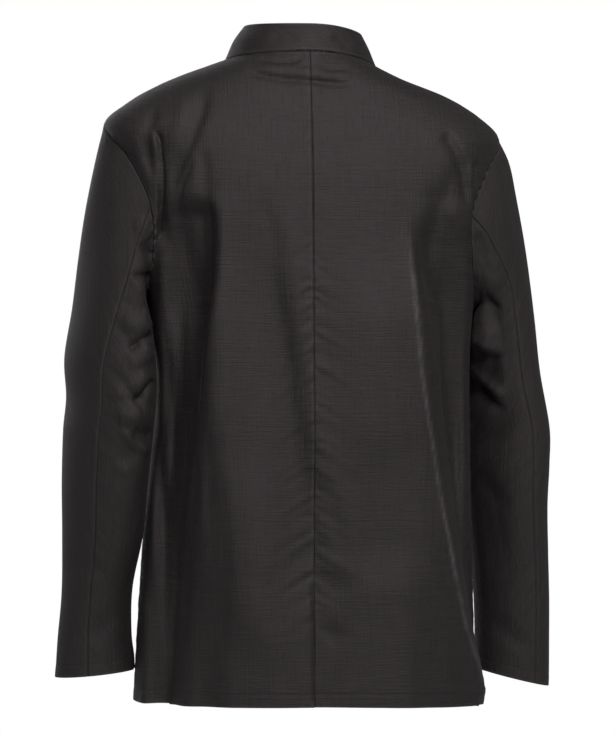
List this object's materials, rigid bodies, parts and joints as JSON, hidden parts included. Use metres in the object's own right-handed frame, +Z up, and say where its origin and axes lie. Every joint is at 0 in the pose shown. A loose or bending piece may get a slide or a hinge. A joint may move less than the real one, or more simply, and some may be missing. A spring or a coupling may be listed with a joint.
{
  "type": "double-breasted chef jacket, as worn, with no wearer",
  "caption": "Hollow long-sleeved chef jacket as worn: stand collar, two-piece set-in sleeves, centre-back seam and a crossed, buttoned front.",
  "frame": {"origin": "middle of the neck, level with the point where the left shoulder seam meets the collar, where the wearer's shoulders hold the jacket", "axes": "+Z up along the jacket's length, +Y out of the back, +X to the wearer's left"},
  "size_m": [0.5864, 0.3052, 0.7886],
  "materials": {
    "charcoal_cloth": "plain-woven poly-cotton, charcoal black, soft sheen",
    "black_button": "black moulded button, satin"
  },
  "bodies": {
    "root": {"back_left": "charcoal_cloth", "back_right": "charcoal_cloth", "front_left": "charcoal_cloth", "front_right": "charcoal_cloth", "sleeve_left_upper": "charcoal_cloth", "sleeve_left_under": "charcoal_cloth", "sleeve_right_upper": "charcoal_cloth", "sleeve_right_under": "charcoal_cloth", "collar": "charcoal_cloth", "button_1": "black_button", "button_2": "black_button", "button_3": "black_button", "button_4": "black_button", "button_5": "black_button", "button_6": "black_button", "button_7": "black_button", "button_8": "black_button", "button_9": "black_button", "button_10": "black_button"}
  },
  "joints": []
}
